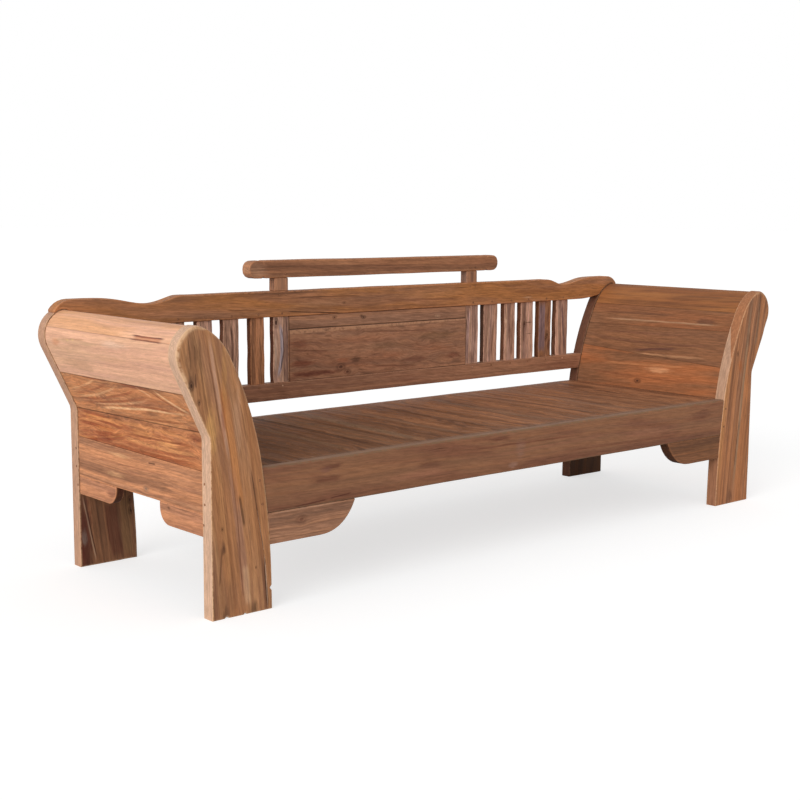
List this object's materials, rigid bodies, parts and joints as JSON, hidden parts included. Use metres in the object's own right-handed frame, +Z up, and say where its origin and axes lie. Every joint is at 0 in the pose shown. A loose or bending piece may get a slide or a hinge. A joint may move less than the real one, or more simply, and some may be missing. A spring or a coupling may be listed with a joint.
{
  "type": "daybed bench",
  "caption": "Long teak daybed bench with scrolled boxed arms on sawn plank legs, a planked seat, a slatted and panelled back, and a raised headrest bar.",
  "frame": {"origin": "floor level, under the middle of the bench", "axes": "+X along the bench to the right of someone who faces its front, +Y from the front to the back, +Z up"},
  "size_m": [2.726, 0.8, 0.957],
  "materials": {
    "back_rail_teak": "brown waxed teak, satin",
    "bracket_teak": "brown waxed teak, satin",
    "crest_teak": "orange-brown waxed teak, satin",
    "headrest_teak": "brown waxed teak, worn edges, satin",
    "hidden_frame_teak": "plain sawn teak, matt",
    "inner_board_teak": "brown waxed teak with dark bands, satin",
    "leg_teak": "waxed reclaimed teak, striped grain, satin",
    "outer_board_teak": "orange flame-grained teak, satin",
    "panel_teak": "brown waxed teak, satin",
    "peg_teak": "pale end-grain pegs, matt",
    "scroll_teak": "pale waxed teak, satin",
    "seat_board_teak": "worn olive-brown teak planks, satin",
    "seat_rail_teak": "red-brown waxed teak, satin",
    "side_rail_teak": "pale orange waxed teak, satin",
    "slat_teak": "rough weathered teak, matt"
  },
  "bodies": {
    "root": {"arm_inner_board_lower_left": "inner_board_teak", "arm_inner_board_lower_right": "inner_board_teak", "arm_inner_board_middle_left": "inner_board_teak", "arm_inner_board_middle_right": "inner_board_teak", "arm_inner_board_upper_left": "inner_board_teak", "arm_inner_board_upper_right": "inner_board_teak", "arm_outer_board_lower_left": "outer_board_teak", "arm_outer_board_lower_right": "outer_board_teak", "arm_outer_board_upper_left": "outer_board_teak", "arm_outer_board_upper_right": "outer_board_teak", "arm_scroll_side_left": "scroll_teak", "arm_scroll_side_right": "scroll_teak", "arm_scroll_top_left": "scroll_teak", "arm_scroll_top_right": "scroll_teak", "back_panel_lower": "panel_teak", "back_panel_upper": "panel_teak", "back_seat_rail": "seat_rail_teak", "crest_rail": "crest_teak", "cross_stretcher_left": "hidden_frame_teak", "cross_stretcher_right": "hidden_frame_teak", "front_bracket_left": "bracket_teak", "front_bracket_right": "bracket_teak", "front_rail": "seat_rail_teak", "headrest_bar": "headrest_teak", "headrest_post_left": "headrest_teak", "headrest_post_right": "headrest_teak", "leg_back_left": "leg_teak", "leg_back_right": "leg_teak", "leg_front_left": "leg_teak", "leg_front_right": "leg_teak", "lower_back_rail": "back_rail_teak", "seat_bearer": "hidden_frame_teak", "seat_boards_1": "seat_board_teak", "seat_boards_2": "seat_board_teak", "seat_boards_3": "seat_board_teak", "seat_boards_4": "seat_board_teak", "seat_boards_5": "seat_board_teak", "seat_boards_6": "seat_board_teak", "seat_end_rail_left": "hidden_frame_teak", "seat_end_rail_right": "hidden_frame_teak", "side_bracket_back_left": "bracket_teak", "side_bracket_back_right": "bracket_teak", "side_bracket_front_left": "bracket_teak", "side_bracket_front_right": "bracket_teak", "side_rail_left": "side_rail_teak", "side_rail_right": "side_rail_teak", "slat_left_1": "slat_teak", "slat_left_2": "slat_teak", "slat_left_3": "slat_teak", "slat_left_4": "slat_teak", "slat_left_5": "slat_teak", "slat_right_1": "slat_teak", "slat_right_2": "slat_teak", "slat_right_3": "slat_teak", "slat_right_4": "slat_teak", "slat_right_5": "slat_teak", "stile_left": "slat_teak", "stile_right": "slat_teak", "tenon_pegs": "peg_teak"}
  },
  "joints": []
}
